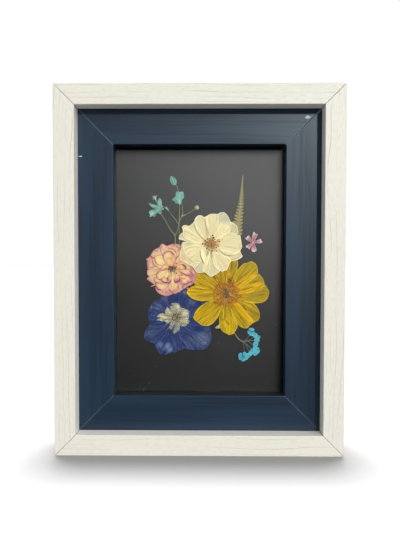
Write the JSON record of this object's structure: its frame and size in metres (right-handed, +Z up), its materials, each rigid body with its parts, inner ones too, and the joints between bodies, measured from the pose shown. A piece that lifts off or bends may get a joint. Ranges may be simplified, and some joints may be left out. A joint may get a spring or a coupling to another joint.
{
  "type": "pressed flower frame",
  "caption": "Small picture frame of two mitred wooden mouldings, white round navy, with dried pressed flowers on a black card behind glass.",
  "frame": {"origin": "middle of the bottom edge, on the surface that the frame stands on", "axes": "+Z up, +X to the right as seen from the front, +Y from the front face to the back"},
  "size_m": [0.196, 0.038, 0.251],
  "materials": {
    "white_wood": "white, faintly grained, satin",
    "navy_wood": "navy, brushed grain, satin",
    "picture_glass": "clear",
    "black_card": "matt black",
    "brown_board": "matt brown",
    "tab_steel": "dull",
    "white_petal": "dry petal, matt",
    "yellow_petal": "dry petal, matt",
    "blue_sepal": "dry petal, matt",
    "cream_rosette": "dry petal, matt",
    "rose_petal": "dry petal, matt",
    "brown_stamens": "dry threads, matt",
    "sprig_green": "dry stem, matt",
    "teal_blossom": "dyed dry petal, matt",
    "fern_khaki": "dry leaf, matt",
    "pink_petal": "dry petal, matt",
    "cyan_blossom": "dyed dry petal, matt",
    "cream_sliver": "dry petal, matt"
  },
  "bodies": {
    "root": {"backing_board": "brown_board", "black_card": "black_card", "blue_rosette": "cream_rosette", "blue_sepal_bottom_left": "blue_sepal", "blue_sepal_left": "blue_sepal", "blue_sepal_lower_right": "blue_sepal", "blue_sepal_right": "blue_sepal", "blue_sepal_top": "blue_sepal", "blue_sepal_upper_left": "blue_sepal", "blue_stamens": "brown_stamens", "blue_umbel": "cyan_blossom", "board_tab_left_lower": "tab_steel", "board_tab_left_upper": "tab_steel", "board_tab_right_lower": "tab_steel", "board_tab_right_upper": "tab_steel", "fern_tip": "fern_khaki", "glass_pane": "picture_glass", "gypsophila_bud": "teal_blossom", "gypsophila_left_blossom": "teal_blossom", "gypsophila_sprig": "sprig_green", "gypsophila_upper_blossom": "teal_blossom", "inner_rail_bottom": "navy_wood", "inner_rail_left": "navy_wood", "inner_rail_right": "navy_wood", "inner_rail_top": "navy_wood", "outer_rail_bottom": "white_wood", "outer_rail_left": "white_wood", "outer_rail_right": "white_wood", "outer_rail_top": "white_wood", "petal_sliver": "cream_sliver", "pink_star_flower": "pink_petal", "rose_inner_petals": "rose_petal", "rose_middle_petals": "rose_petal", "rose_outer_petals": "rose_petal", "rose_stamens": "brown_stamens", "white_petal_bottom": "white_petal", "white_petal_bottom_left": "white_petal", "white_petal_bottom_right": "white_petal", "white_petal_left": "white_petal", "white_petal_left_low": "white_petal", "white_petal_left_upper": "white_petal", "white_petal_lower_left": "white_petal", "white_petal_lower_right": "white_petal", "white_petal_right": "white_petal", "white_petal_right_upper": "white_petal", "white_petal_top": "white_petal", "white_petal_top_left": "white_petal", "white_petal_top_right": "white_petal", "white_stamens": "brown_stamens", "yellow_petal_bottom": "yellow_petal", "yellow_petal_left": "yellow_petal", "yellow_petal_left_upper": "yellow_petal", "yellow_petal_lower_left": "yellow_petal", "yellow_petal_lower_right": "yellow_petal", "yellow_petal_right": "yellow_petal", "yellow_petal_right_upper": "yellow_petal", "yellow_petal_top": "yellow_petal", "yellow_petal_top_left": "yellow_petal", "yellow_petal_upper_right": "yellow_petal", "yellow_stamens": "brown_stamens"}
  },
  "joints": []
}
